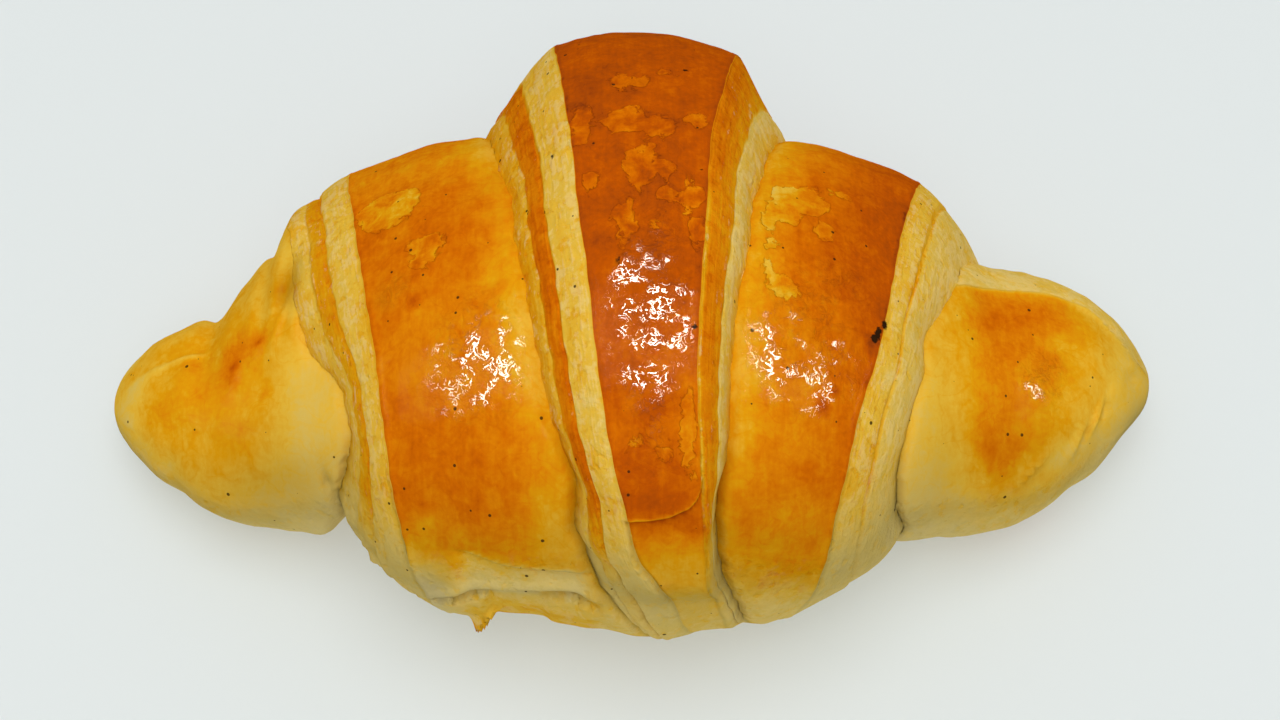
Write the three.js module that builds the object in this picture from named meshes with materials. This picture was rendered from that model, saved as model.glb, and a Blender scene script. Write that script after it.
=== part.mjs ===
// A butter croissant, baked as one piece. A long triangle of laminated dough was rolled up from its
// base, so the roll shows three turns of crust. The outermost turn is the triangle's narrow tip, and
// each turn under it reaches further towards the ends. Between two crusts the sheet's cut edge slopes
// down to the next turn. It lies on its own weight, so its underside is flat.
//
// Units are millimetres and degrees. X runs along the roll, Y across it, and Z is up. A place on the
// roll is given by x and by its angle round the roll: 0 at the front, 90 on top, 180 at the back.
import * as THREE from "three";

// Driving dimensions.
const HALF_LENGTH = 70;
const CAP_LENGTH = 8; // the rounded end of each horn
const WIDTH_SHARE = 1.07; // half of a section's width over its radius
const HEIGHT_SHARE = 0.8; // half of a section's height over its radius
const SETTLE = 1.5; // how softly the flat underside meets the sides
const EDGE_SWELL = 1.8; // power of the rounded fall from a crust to the next turn
const SEAM_ANGLE = -25; // where the mesh starts round the roll, low on the front

// Mesh density.
const RINGS = 78;
const SEGMENTS = 42;
const CAP_SHARE = 0.14; // the share of the rings that each rounded end takes

// A smooth curve through points of [place, value], flat beyond its ends.
function through(points) {
  const spans = points.slice(1).map(([x], i) => x - points[i][0]);
  const slopes = points.slice(1).map(([, y], i) => (y - points[i][1]) / spans[i]);
  const tangents = points.map((_, i) => {
    if (i === 0) return slopes[0];
    if (i === slopes.length) return slopes[i - 1];
    return (slopes[i - 1] * spans[i] + slopes[i] * spans[i - 1]) / (spans[i] + spans[i - 1]);
  });
  return (place) => {
    const x = THREE.MathUtils.clamp(place, points[0][0], points[points.length - 1][0]);
    let i = 0;
    while (i < spans.length - 1 && x > points[i + 1][0]) i += 1;
    const u = (x - points[i][0]) / spans[i];
    const rise = points[i][1] * (1 + 2 * u) * (1 - u) ** 2 + points[i + 1][1] * u * u * (3 - 2 * u);
    return rise + spans[i] * u * (1 - u) * (tangents[i] * (1 - u) - tangents[i + 1] * u);
  };
}

// 0 below the first value, 1 above the second, smooth between.
const rise = (value, from, to) => THREE.MathUtils.smoothstep(value, from, to);
const hump = (value, middle, spread) => Math.exp(-(((value - middle) / spread) ** 2));

// The roll's centreline: how high it runs and how far it bends to the front, by x.
const centreHeight = through([
  [-70, 8.6], [-62, 10.6], [-50, 12.2], [-40, 16.5], [-28, 21.5], [-12, 26],
  [1, 27.4], [12, 26.4], [28, 22], [40, 17.5], [52, 13.8], [62, 12.2], [70, 10],
]);
const centreDepth = through([
  [-70, 1.2], [-62, -1], [-52, -3], [-40, -2.2], [-28, -1.2], [-12, -0.6],
  [0, 0], [12, -0.4], [28, -1], [42, -0.8], [52, 0], [62, 2.2], [70, 4],
]);

// Each turn's radius at its crust, by x.
const outerRadius = through([
  [-40, 30], [-28, 33.8], [-12, 38.2], [0, 39.4], [6, 39.4], [16, 38], [28, 34.2], [40, 30],
]);
const middleRadius = through([
  [-60, 22], [-46, 25], [-38, 27.4], [-30, 28.8], [-22, 30], [-14, 31.4], [0, 32.6],
  [14, 31.6], [22, 30.2], [30, 28.6], [38, 26.6], [46, 24.6], [60, 20],
]);
const hornRadius = through([
  [-70, 7], [-66, 8.3], [-61, 10.8], [-55, 13.6], [-46, 15.9], [-40, 17.6], [-34, 19.6], [0, 22],
  [34, 21.6], [40, 19.4], [46, 17.8], [54, 15.4], [60, 12.4], [65, 9], [70, 7],
]);

// Where the sheet's two long edges lie, by unrolled angle: 360 a turn, from the triangle's tip.
const leftEdge = through([
  [-3, 10.4], [2, 8.6], [6, 7.1], [10, 5.8], [16, 3.6], [21, 1.6], [26, 0.4], [32, -0.3],
  [40, -1.5], [54, -3.2], [72, -4.8], [90, -6.2], [119, -8.6], [138, -9.8], [200, -14],
  [335, -23.5], [350, -25], [363, -26], [373, -27], [387, -28.3], [397, -29], [415, -30.1],
  [427, -31.1], [443, -32.4], [462, -34.4], [481, -36.1], [504, -37.6], [560, -42], [695, -60],
]);
const rightEdge = through([
  [-3, 10.6], [10, 9.7], [16, 9.1], [28, 8.6], [40, 8.1], [55, 7.9], [72, 8.1], [84, 8.8],
  [98, 9.5], [108, 10.2], [121, 11.7], [138, 13.4], [200, 16], [335, 20.5], [350, 21.6],
  [366, 23], [376, 24], [392, 25.2], [407, 26.8], [416, 28], [429, 30.1], [446, 32],
  [456, 33.2], [468, 34.3], [486, 36.5], [560, 43], [695, 60],
]);

// How wide the sheet's cut edge shows beside each crust, by angle.
const outerLeftBand = through([
  [-25, 9], [-6, 9.6], [6, 8.2], [18, 7.1], [34, 6], [44, 6.2], [54, 6.9], [74, 7.4],
  [97, 7.6], [120, 8], [200, 9], [335, 12.5],
]);
const outerRightBand = through([
  [-25, 2], [0, 1.8], [15, 1.3], [30, 1.9], [38, 3], [51, 3.8], [64, 4.3], [86, 5.1],
  [100, 5.4], [110, 5.6], [125, 5], [200, 9], [335, 12.5],
]);
const middleLeftBand = through([
  [-25, 12.5], [0, 12], [15, 8.6], [32, 5.6], [42, 5], [54, 5.2], [64, 5.5], [72, 6.6],
  [84, 8.2], [96, 8.6], [125, 8.2], [200, 9], [335, 12.5],
]);
const middleRightBand = through([
  [-25, 12.5], [0, 12], [15, 9.4], [35, 7.8], [55, 7.4], [66, 6.7], [80, 5.6], [92, 6.4],
  [106, 7.2], [125, 6.8], [200, 9], [335, 12.5],
]);

// How far the low front falls short of an even roll, by x. Less than 0 stands out from it.
const frontTuck = through([
  [-70, 0.6], [-62, 1], [-50, 0.7], [-44, -0.2], [-38, 1.6], [-34, 1.8], [-24, 2], [-16, 2.3], [-9, 1.4],
  [-2, -0.4], [3, -1], [9, -0.4], [17, -0.4], [22, 0.9], [30, 0.3], [38, -0.3], [48, -0.5], [58, 0.3],
  [64, 1], [70, 1.4],
]);

// 1 over the top and back of the roll, fading to 0 before the angles come round to the front again.
const upper = (angle) => 1 - rise(angle, 230, 300);
// The angle as seen from the front: less than 0 underneath.
const below = (angle) => (angle > 180 ? angle - 360 : angle);

// The left horn swells at the back, where the third turn's own edge is buried.
function hornRadiusAt(x, angle) {
  const swell = 8.6 * hump(x, -46.5, 5.2) + 2.6 * hump(x, -43.5, 4.5);
  const hollow = 0.8 * hump(x, -51, 3) + 1.4 * hump(x, 47, 5);
  return hornRadius(x) + (swell - hollow) * rise(angle, 70, 115) * upper(angle);
}

// The middle turn bulges up behind its cut edges, and out where the tip presses it low on the front.
function middleRadiusAt(x, angle) {
  const shoulders = THREE.MathUtils.lerp(-1.9, 1, rise(-x, 16, 36))
    + 1.7 * hump(x, 37, 5) - 0.9 * hump(x, 17, 5) - 0.8 * hump(x, -31, 6) + hump(x, -40, 4);
  const low = 2.5 * hump(x, 3, 9.5) * hump(below(angle), -12, 24);
  return middleRadius(x) + shoulders * rise(angle, 80, 120) * upper(angle) + low;
}

function outerRadiusAt(x, angle) {
  const swell = hump(x, -8, 7) - 0.7 * hump(x, 17, 5) + 0.4 * hump(x, 3, 9);
  return outerRadius(x) + swell * rise(angle, 90, 130) * upper(angle);
}

// The crust's radius at an unrolled angle: the sheet winds from one turn's radius to the next.
function crustRadius(x, angle, unrolled) {
  const toMiddle = rise(unrolled, 230, 430);
  const toHorn = rise(unrolled, 500, 700);
  const rolled = THREE.MathUtils.lerp(outerRadiusAt(x, angle), middleRadiusAt(x, angle), toMiddle);
  return THREE.MathUtils.lerp(rolled, hornRadiusAt(x, angle), toHorn);
}

// One turn laid over the radius of what lies under it.
function layTurn(under, x, angle, unrolled, leftBand, rightBand, tuck) {
  const crust = under + (crustRadius(x, angle, unrolled) - under) * tuck;
  const pastLeft = (leftEdge(unrolled) - x) / leftBand(angle);
  const pastRight = (x - rightEdge(unrolled)) / rightBand(angle);
  const past = THREE.MathUtils.clamp(Math.max(pastLeft, pastRight), 0, 1);
  return crust + (under - crust) * past ** EDGE_SWELL;
}

function rollRadius(x, angle) {
  const horn = crustRadius(x, angle, angle + 720);
  const middle = layTurn(horn, x, angle, angle + 360, middleLeftBand, middleRightBand, 1);
  const tipTuck = rise(angle, -3, 17);
  const rolled = layTurn(middle, x, angle, angle, outerLeftBand, outerRightBand, tipTuck);
  const low = below(angle);
  return rolled - frontTuck(x) * (1 - rise(low, -24, 12)) * rise(low, -75, -40);
}

// Squashes what would sink below the surface that the roll lies on.
function settle(z) {
  if (z <= -SETTLE) return 0;
  return z < SETTLE ? (z + SETTLE) ** 2 / (4 * SETTLE) : z;
}

// Where the ring at share v of the length stands, and how far the horn's end has rounded in.
function ringAt(v) {
  const side = Math.sign(v - 0.5);
  const share = Math.abs(2 * v - 1);
  const straight = HALF_LENGTH - CAP_LENGTH;
  if (share <= 1 - CAP_SHARE) return { x: (side * straight * share) / (1 - CAP_SHARE), cap: 1 };
  const turn = ((share - 1 + CAP_SHARE) / CAP_SHARE) * (Math.PI / 2);
  return { x: side * (straight + CAP_LENGTH * Math.sin(turn)), cap: Math.cos(turn) };
}

// A sphere's rings and segments, set out over the roll instead.
function croissantGeometry() {
  const geometry = new THREE.SphereGeometry(1, SEGMENTS, RINGS);
  const { position, uv } = geometry.attributes;
  for (let i = 0; i < position.count; i += 1) {
    const { x, cap } = ringAt(1 - uv.getY(i));
    const angle = SEAM_ANGLE + 360 * (uv.getX(i) % 1);
    const radius = cap < 1e-9 ? 0 : rollRadius(x, angle) * cap;
    const turned = THREE.MathUtils.degToRad(angle);
    const y = centreDepth(x) - WIDTH_SHARE * radius * Math.cos(turned);
    const z = centreHeight(x) + HEIGHT_SHARE * radius * Math.sin(turned);
    position.setXYZ(i, x, y, settle(z));
  }
  geometry.deleteAttribute("normal");
  geometry.deleteAttribute("uv");
  geometry.computeBoundingBox();
  const middle = geometry.boundingBox.getCenter(new THREE.Vector3());
  geometry.translate(-middle.x, -middle.y, -geometry.boundingBox.min.z);
  return geometry;
}

const bakedCrust = new THREE.MeshStandardMaterial({
  color: 0xc9781a,
  roughness: 0.4,
  metalness: 0,
  flatShading: true,
});

const croissant = new THREE.Mesh(croissantGeometry(), bakedCrust);
croissant.name = "croissant";

const part = new THREE.Group();
part.add(croissant);

export default part;
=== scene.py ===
"""A baked butter croissant on a pale table: a triangle of laminated dough rolled up from its base.

The roll shows three turns of crust. A place on it is given by x, in millimetres along the roll, and by
its angle round the roll: 0 at the front, 90 on top, 180 at the back, 270 underneath. Each turn under the
outermost one adds 360 degrees, so that one curve gives where each long edge of the sheet lies.
"""
from math import cos, pi, radians, sin

import bpy
import numpy as np
from mathutils import Euler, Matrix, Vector


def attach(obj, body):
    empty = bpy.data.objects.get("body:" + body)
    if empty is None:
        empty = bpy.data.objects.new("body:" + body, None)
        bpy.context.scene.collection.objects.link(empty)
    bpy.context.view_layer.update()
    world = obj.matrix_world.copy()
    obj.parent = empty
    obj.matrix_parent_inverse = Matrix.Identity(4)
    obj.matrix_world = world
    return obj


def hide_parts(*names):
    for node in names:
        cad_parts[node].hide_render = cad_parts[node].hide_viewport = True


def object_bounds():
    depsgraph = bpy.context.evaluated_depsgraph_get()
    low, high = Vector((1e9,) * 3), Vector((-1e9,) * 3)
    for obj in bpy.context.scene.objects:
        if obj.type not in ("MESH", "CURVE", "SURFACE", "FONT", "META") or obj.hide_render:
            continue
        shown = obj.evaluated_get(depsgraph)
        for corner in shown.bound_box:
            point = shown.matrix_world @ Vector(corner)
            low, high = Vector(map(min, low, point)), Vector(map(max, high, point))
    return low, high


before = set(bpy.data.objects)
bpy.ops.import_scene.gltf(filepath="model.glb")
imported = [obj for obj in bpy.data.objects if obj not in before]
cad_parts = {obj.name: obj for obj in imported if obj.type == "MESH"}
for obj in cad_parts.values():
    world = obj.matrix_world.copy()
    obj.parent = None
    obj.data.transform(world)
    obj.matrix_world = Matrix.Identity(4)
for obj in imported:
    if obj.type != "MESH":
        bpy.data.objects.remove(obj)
cad_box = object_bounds()

MM = 0.001
SEGMENTS = 240
SEAM = -25.0  # the angle where the segments start, low on the front
OUTER_DEGREE = 0.6  # millimetres of crust to a degree, on the outermost turn
MIDDLE_DEGREE = 0.55  # on the middle turn
HORN_DEGREE = 0.25  # on the horns


# ---------------------------------------------------------------- curves and masks

def through(*points):
    """A smooth curve through (place, value) points, flat beyond its ends."""
    xs, ys = np.array(points, float).T
    spans = np.diff(xs)
    slopes = np.diff(ys) / spans
    tangents = np.empty(len(xs))
    tangents[0], tangents[-1] = slopes[0], slopes[-1]
    tangents[1:-1] = (slopes[:-1] * spans[1:] + slopes[1:] * spans[:-1]) / (spans[1:] + spans[:-1])

    def curve(x):
        x = np.clip(np.asarray(x, float), xs[0], xs[-1])
        i = np.clip(np.searchsorted(xs, x, side="right") - 1, 0, len(spans) - 1)
        u = (x - xs[i]) / spans[i]
        ends = ys[i] * (1 + 2 * u) * (1 - u) ** 2 + ys[i + 1] * u * u * (3 - 2 * u)
        return ends + spans[i] * u * (1 - u) * (tangents[i] * (1 - u) - tangents[i + 1] * u)

    return curve


def steps(*points):
    """Straight lines through (place, value) points."""
    xs, ys = np.array(points, float).T
    return lambda x: np.interp(x, xs, ys)


def rise(value, low, high):
    """0 below the low value, 1 above the high one, smooth between."""
    u = np.clip((value - low) / (high - low), 0, 1)
    return u * u * (3 - 2 * u)


def fall(value, low, high):
    return 1 - rise(value, low, high)


def hump(value, middle, spread):
    return np.exp(-(((value - middle) / spread) ** 2))


def humps(x, table):
    """The sum of a table's humps, each given as its middle, spread and height."""
    return sum(height * hump(x, middle, spread) for middle, spread, height in table)


def between(value, low, high, soft):
    return rise(value, low - soft, low + soft) * fall(value, high - soft, high + soft)


def mix(a, b, share):
    return a + (b - a) * share


def noise(points, size, seed, octaves):
    """Smooth noise, about -1 to 1, on an array of places in millimetres."""
    generator = np.random.default_rng(seed)
    cells = 32  # along each side of the block of noise that repeats
    total, amount = 0.0, 1.0
    for _ in range(octaves):
        grid = generator.uniform(-1, 1, (cells, cells, cells))
        p = points / size + generator.uniform(0, cells, 3)
        cell = np.floor(p).astype(int)
        f = p - cell
        f = f * f * (3 - 2 * f)
        value = 0.0
        for corner in range(8):
            d = np.array([corner & 1, corner >> 1 & 1, corner >> 2 & 1])
            weight = np.prod(np.where(d == 1, f, 1 - f), axis=-1)
            i, j, k = np.moveaxis((cell + d) % cells, -1, 0)
            value = value + weight * grid[i, j, k]
        total = total + value * amount
        amount, size = amount * 0.5, size * 0.5
    return total


def wavering(curve, seed, amount):
    """The curve with the small unevenness of dough that was cut and rolled by hand."""
    phases = np.random.default_rng(seed).uniform(0, 2 * pi, 4)
    slow, quick = 9.0, 41.0  # waves in a whole turn

    def uneven(angle):
        turn = np.radians(np.asarray(angle, float))
        slow_part = np.sin(slow * turn + phases[0]) + 0.7 * np.sin(1.7 * slow * turn + phases[1])
        quick_part = 0.5 * np.sin(quick * turn + phases[2]) + 0.25 * np.sin(1.6 * quick * turn + phases[3])
        return curve(angle) + amount * (slow_part + quick_part)

    return uneven


# ---------------------------------------------------------------- the roll's curves

WIDTH_SHARE = 1.07  # half of a section's width over its radius
HEIGHT_SHARE = 0.80  # half of a section's height over its radius
SETTLE = 1.5  # how softly the flat underside meets the sides, in millimetres

# The roll's centreline, by x: how high it runs, and how far it bends to the back.
centre_height = through(
    (-70, 8.6), (-62, 10.6), (-50, 12.2), (-40, 16.5), (-28, 21.5), (-12, 26), (1, 27.4), (12, 26.4),
    (28, 22), (40, 17.5), (52, 13.8), (62, 12.2), (70, 10))
centre_depth = through(
    (-70, 1.2), (-62, -1), (-52, -3), (-40, -2.2), (-28, -1.2), (-12, -0.6), (0, 0), (12, -0.4), (28, -1),
    (42, -0.8), (52, 0), (62, 2.2), (70, 4))

# Each turn's radius at its crust, by x.
outer_radius = through(
    (-40, 30), (-28, 33.8), (-12, 38.2), (0, 39.4), (6, 39.4), (16, 38), (28, 34.2), (40, 30))
middle_radius = through(
    (-60, 22), (-46, 25), (-38, 27.4), (-30, 28.8), (-22, 30), (-14, 31.4), (0, 32.6), (14, 31.6),
    (22, 30.2), (30, 28.6), (38, 26.6), (46, 24.6), (60, 20))
horn_radius = through(
    (-70, 7), (-66, 8.3), (-61, 10.8), (-55, 13.6), (-46, 15.9), (-40, 17.6), (-34, 19.6), (0, 22),
    (34, 21.6), (40, 19.4), (46, 17.8), (54, 15.4), (60, 12.4), (65, 9), (70, 7))

# How each turn swells, or dips where it is less than 0, at the back: x, spread along it, height.
OUTER_BACK = ((-8, 7, 1.0), (18.5, 3.3, -1.6), (3, 9, 0.4))
MIDDLE_BACK = ((37, 5, 1.7), (17, 5, -0.9), (-31, 6, -0.8), (-40, 4, 1.0))
HORN_BACK = (
    (-46.5, 5.2, 8.6), (-43.5, 4.5, 2.6), (-47.5, 1.5, -2.9), (-52.4, 1.6, 1.0), (-55.8, 1.5, -0.9),
    (-58.8, 1.8, 0.3), (-43.4, 1.6, 1.5), (47, 5, -1.4))

# Where the sheet's two long edges lie, by unrolled angle.
left_edge = wavering(through(
    (-25, 9.6), (-15, 7.8), (-8, 6.8), (-3, 6.2), (5, 5.2), (12, 4.2), (16, 3.4), (21, 1.5), (26, 0.3),
    (32, -0.4), (40, -1.5), (54, -3.2), (72, -4.8), (90, -6.2), (119, -8.6), (138, -9.8), (200, -14),
    (335, -23.5), (350, -25), (363, -26), (373, -27), (387, -28.3), (397, -29), (415, -30.1),
    (427, -31.1), (443, -32.4), (462, -34.4), (481, -36.1), (504, -37.6), (560, -42),
    (695, -60)), seed=1, amount=0.09)
right_edge = wavering(through(
    (-25, 13), (-15, 12), (-6, 11.2), (0, 10.5), (6, 9.9), (14, 9.2), (28, 8.6), (40, 8.1), (55, 7.9),
    (72, 8.1), (84, 8.8), (98, 9.5), (108, 10.2), (121, 11.7), (138, 13.4), (200, 16), (335, 20.5),
    (350, 21.6), (366, 23), (376, 24), (392, 25.2), (407, 26.8), (416, 28), (429, 30.1), (446, 32),
    (456, 33.2), (468, 34.3), (486, 36.5), (560, 43), (695, 60)), seed=2, amount=0.07)

# How wide the sheet's cut edge shows beside each crust, by angle.
outer_left_band = wavering(through(
    (-25, 6.6), (-5, 7.6), (4, 8.7), (13, 9.1), (22, 7.8), (34, 6.2), (44, 6.2), (54, 6.9), (74, 7.4),
    (97, 7.6), (120, 8), (200, 9), (335, 12.5)), seed=3, amount=0.14)
outer_right_band = wavering(through(
    (-25, 2), (0, 1.8), (15, 1.3), (30, 1.9), (38, 3), (51, 3.8), (64, 4.3), (86, 5.1), (100, 5.4),
    (110, 5.6), (125, 5), (200, 9), (335, 12.5)), seed=4, amount=0.10)
middle_left_band = wavering(through(
    (-25, 12.5), (-12, 11.2), (0, 10.8), (15, 9.8), (32, 7.2), (42, 6), (54, 5.5), (64, 5.5), (72, 6.6),
    (84, 8.2), (96, 8.6), (125, 8.2), (200, 9), (335, 12.5)), seed=5, amount=0.09)
middle_right_band = wavering(through(
    (-25, 12.5), (0, 12), (15, 9.4), (35, 7.8), (55, 7.4), (66, 6.7), (80, 5.6), (92, 6.4), (106, 7.2),
    (125, 6.8), (200, 9), (335, 12.5)), seed=6, amount=0.12)

# How a cut edge steps on its way from its crust (0) down to the next turn (1): share of the width, relief.
RELIEF = 1.5  # millimetres to a relief of 1
outer_left_relief = steps(
    (0, 0), (0.1, 0.1), (0.46, 0.15), (0.5, 0.2), (0.51, -0.3), (0.6, 0.05), (0.7, 0.1), (0.755, 0.05),
    (0.765, -0.25), (0.85, 0), (1, -0.15))
outer_right_relief = steps(
    (0, 0), (0.3, 0.1), (0.6, 0.15), (0.61, -0.2), (0.66, 0.1), (0.8, 0.1), (1, -0.2))
middle_left_relief = steps(
    (0, 0), (0.2, 0.1), (0.44, 0.15), (0.45, -0.25), (0.55, 0.05), (0.7, 0.1), (0.71, -0.3), (0.8, 0),
    (1, -0.1))
middle_right_relief = steps(
    (0, 0), (0.2, 0.12), (0.41, 0.15), (0.42, -0.3), (0.5, 0), (0.7, 0.15), (0.85, 0.1), (1, -0.2))

# How round each cut edge falls, by angle: the higher, the fuller.
outer_left_power = through((-25, 2), (60, 2), (110, 1.55), (200, 2), (335, 1.7))
outer_right_power = through((-25, 2), (80, 2), (120, 1.4), (335, 1.7))
middle_left_power = through((-25, 1.7), (40, 2.0), (80, 2.2), (115, 3.6), (200, 3), (335, 2.2))
middle_right_power = through((-25, 1.7), (40, 2), (120, 2.8), (335, 1.7))

CREASE = 0.45  # how deep the crease beside the next turn is, in millimetres
CUT_RIM = 0.14  # how high the skin's rim stands along a cut edge
FULL_STEP = 4.0  # a crust that stands so far over the next turn has its full steps and crease
CROWN = 1.1  # how high a shoulder rounds up between its two edges

# Angles by x: where the outermost skin ends on the front, and where the left shoulder's skin is torn and
# its dough tucked in. Each runs along a stretch of x.
flap_end = through((-2, 32), (1, 32), (3, 32.3), (4.7, 33), (5.8, 34), (7, 35.2), (7.8, 37), (8.6, 41))
skin_tear = through(
    (-30, 19), (-22, 18), (-19, 16.2), (-17, 14), (-14.6, 12.3), (-12, 11), (-10, 10.3), (-8, 9.8),
    (-4, 9))
undercut = through((-30, -11), (-26, -6), (-22, -1.5), (-18, 0), (-13, 0.6), (-8, 0.5), (-5, 0), (-2, -2))
FLAP = (-1.5, 8.4)
TEAR = (-20.5, -5.5)
TUCK = (-24.5, -4.5)
SKIN = 0.75  # how thick the free skin is, in millimetres
CRUMB_HEIGHT = 2.0  # how far the crumb of egg stands out

# How far the low front falls short of, or stands out from, an even roll, by x.
front_tuck = through(
    (-70, 0.6), (-62, 1.0), (-50, 0.7), (-44, 0.1), (-39.2, 0.3), (-37.5, 2.2), (-36, 3.7), (-34, 2.6),
    (-24, 1.0), (-16, 0.7), (-9, 0.7), (-2, -0.4), (3, -0.8), (9, 0.5), (13, 0.3), (17, -0.3), (22, 0.9),
    (30, 0.3), (38, -0.3), (48, -0.5), (58, 0.3), (64, 1.0), (70, 1.4))

# The left horn's pale fold, as x by angle, and where the right horn's glaze ends, as an angle by x.
pale_fold = through((42, -67), (73, -66.6), (102, -60.8), (109, -55.3))
glaze_end = through((38, 104), (41, 108), (48, 119), (56.6, 120), (62, 116), (66.4, 97), (70, 80))
PUCKER = 1.5  # millimetres to a pucker's height of 1
# Small folds on the horns: angle, x, how they lean, half their width and length in millimetres, height.
PUCKERS = (
    (58, 63.5, 0.3, 0.7, 2.4, 0.7), (70, 66.5, -0.2, 0.8, 2.2, -0.8), (44, 60.5, 0.4, 0.6, 2.2, 0.7),
    (50, 62.2, 0.3, 0.6, 2.2, -0.7), (33, 57.5, 0.5, 0.6, 2.2, 0.6), (36, 59, 0.4, 0.5, 2.0, -0.6),
    (84, 66.8, 0.1, 0.7, 1.8, 0.6), (28, 51.5, 1.0, 0.5, 1.8, 0.6), (98, -45, 0.6, 0.5, 1.8, 0.45),
    (92, -48, 0.6, 0.5, 1.6, 0.4), (84, -51.5, 0.4, 0.5, 1.4, 0.35), (24, -38.5, -0.3, 0.5, 2.2, -0.6),
    (16, -36, -0.3, 0.5, 2.0, 0.5), (8, -33, -0.5, 0.5, 2.0, -0.6), (2, -30, -0.6, 0.6, 2.0, 0.6),
    (-4, -33, -0.5, 0.6, 2.2, 0.7), (-8, -28, -0.8, 0.6, 2.2, -0.7))


# ---------------------------------------------------------------- the roll's surface

def below(angle):
    """The angle as seen from the front: less than 0 underneath, with no jump at the seam."""
    return np.where(angle > 180, angle - 360, angle)


def past_flap(x, angle):
    """Millimetres down the front from the outermost skin's end."""
    return (flap_end(x) - angle) * OUTER_DEGREE


def past_tear(x, angle):
    return (skin_tear(x) - angle) * MIDDLE_DEGREE


def past_tuck(x, low):
    return (undercut(x) - low) * MIDDLE_DEGREE


def on_pale_fold(x, angle, wide):
    """1 along the left horn's pale fold, fading away over the width on both sides."""
    return hump(x - pale_fold(angle), 0, wide) * between(angle, 42, 109, 5)


def crumb(x, low):
    """1 on the crumb of dried egg below the left shoulder."""
    middle = -19.6 + 0.020 * (low + 24) ** 2
    wide = 0.55 + 0.2 * np.sin(low * 0.9)
    return hump(x, middle, wide) * between(low, -25.5, -13, 2.0)


def crust_radius(x, angle, unrolled):
    """The radius at the crust: the sheet winds from one turn's radius to the next one's."""
    upper = fall(angle, 230, 300)
    outer = outer_radius(x) + humps(x, OUTER_BACK) * rise(angle, 90, 130) * upper
    shoulders = mix(-1.9, 1.0, rise(-x, 16, 36)) + humps(x, MIDDLE_BACK)
    pressed_out = 2.5 * hump(x, 3, 9.5) * hump(below(angle), -12, 24)
    middle = middle_radius(x) + shoulders * rise(angle, 80, 120) * upper + pressed_out
    horn = horn_radius(x) + humps(x, HORN_BACK) * rise(angle, 70, 115) * upper
    rolled = mix(outer, middle, rise(unrolled, 230, 430))
    return mix(rolled, horn, rise(unrolled, 500, 700))


class Band:
    """One turn's cut edge on one side: how far a place is past the crust, as a share of its width."""

    def __init__(self, past, width, relief, power):
        self.past, self.width, self.relief, self.power = past, width, relief, power
        self.share = np.clip(past / width, 0, 1)
        self.inside = (past > 0) & (past < width)


def bands(x, angle):
    """The four cut edges: the outermost turn's left and right, and then the middle turn's."""
    second = angle + 360
    return (
        Band(left_edge(angle) - x, outer_left_band(angle), outer_left_relief, outer_left_power),
        Band(x - right_edge(angle), outer_right_band(angle), outer_right_relief, outer_right_power),
        Band(left_edge(second) - x, middle_left_band(angle), middle_left_relief, middle_left_power),
        Band(x - right_edge(second), middle_right_band(angle), middle_right_relief, middle_right_power))


def lay_turn(under, x, angle, unrolled, pair, tuck):
    """The radius with one turn laid over what is under it, and pressed in where the tuck is below 1."""
    crust = under + (crust_radius(x, angle, unrolled) - under) * tuck
    left, right = pair
    share = np.maximum(left.share, right.share)
    power = np.where(left.share > right.share, left.power(angle), right.power(angle))
    straight = 0.25
    radius = crust + (under - crust) * (straight * share + (1 - straight) * share ** power)
    size = np.clip((crust - under) / FULL_STEP, 0, 1)
    lower = 1.1 * rise(angle, -25, -15) * fall(angle, 15, 35)
    deep = np.maximum(size * (1 + 1.2 * hump(angle, 25, 30)), 1.3 * lower)
    for band in pair:
        shown = band.inside * np.maximum(size, lower) * fall(angle, 200, 260)
        radius = radius + RELIEF * band.relief(band.share) * shown
        radius = radius - CREASE * deep * hump(band.past - band.width, 0, 0.8)
        radius = radius + CUT_RIM * size * hump(band.past, -0.35, 0.35)
    return radius


def crown(x, angle, inner, outer):
    """How a shoulder rounds up between its inner and outer edges."""
    across = np.clip((x - inner) / (outer - inner), 0, 1)
    return CROWN * 4 * across * (1 - across) * rise(angle, 5, 40) * fall(angle, 200, 260)


def free_skin(x, angle):
    """The outermost skin ends part of the way down the front, in a step with a curled rim."""
    past = past_flap(x, angle)
    left, right = left_edge(angle), right_edge(angle)
    on_tip = rise(x, left - 0.6, left) * fall(x, right, right + 0.6)
    rim = 0.16 * hump(past, -0.35, 0.35)
    step = SKIN * rise(past, 0, 0.06) * rise(angle, -3, 14)
    return (rim - step) * on_tip


def torn_skin(x, angle):
    """The left shoulder's skin is torn along its foot, over a paler layer."""
    past = past_tear(x, angle)
    rim = 0.12 * hump(past, -0.4, 0.4)
    step = SKIN * rise(past, 0, 0.08) * rise(angle, -12, 0)
    return (rim - step) * between(x, *TEAR, 1.2)


def tucked_foot(x, angle):
    """Below the tear the dough is tucked in, over a ragged layer with a crumb of dried egg on it."""
    low = below(angle)
    past = past_tuck(x, low)
    ragged = 1.7 + 0.5 * np.sin(1.1 * x) + 0.45 * np.sin(2.9 * x + 1) + 0.15 * np.sin(5.1 * x)
    layered = between(x, -26, -17.5, 1) + between(x, -11, -2, 1.5)
    layer = layered * rise(past, ragged, ragged + 0.5)
    recess = rise(past, 0, 0.5) * (1 - layer) * mix(0.3, 1.6, layered)
    fold = (0.5 * hump(past, -0.8, 1.0) - recess + 0.6 * layer) * between(x, *TUCK, 2.0)
    tucked_in = front_tuck(x) * fall(low, -24, 12)
    return (fold - tucked_in) * rise(low, -75, -40) + CRUMB_HEIGHT * crumb(x, low)


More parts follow.
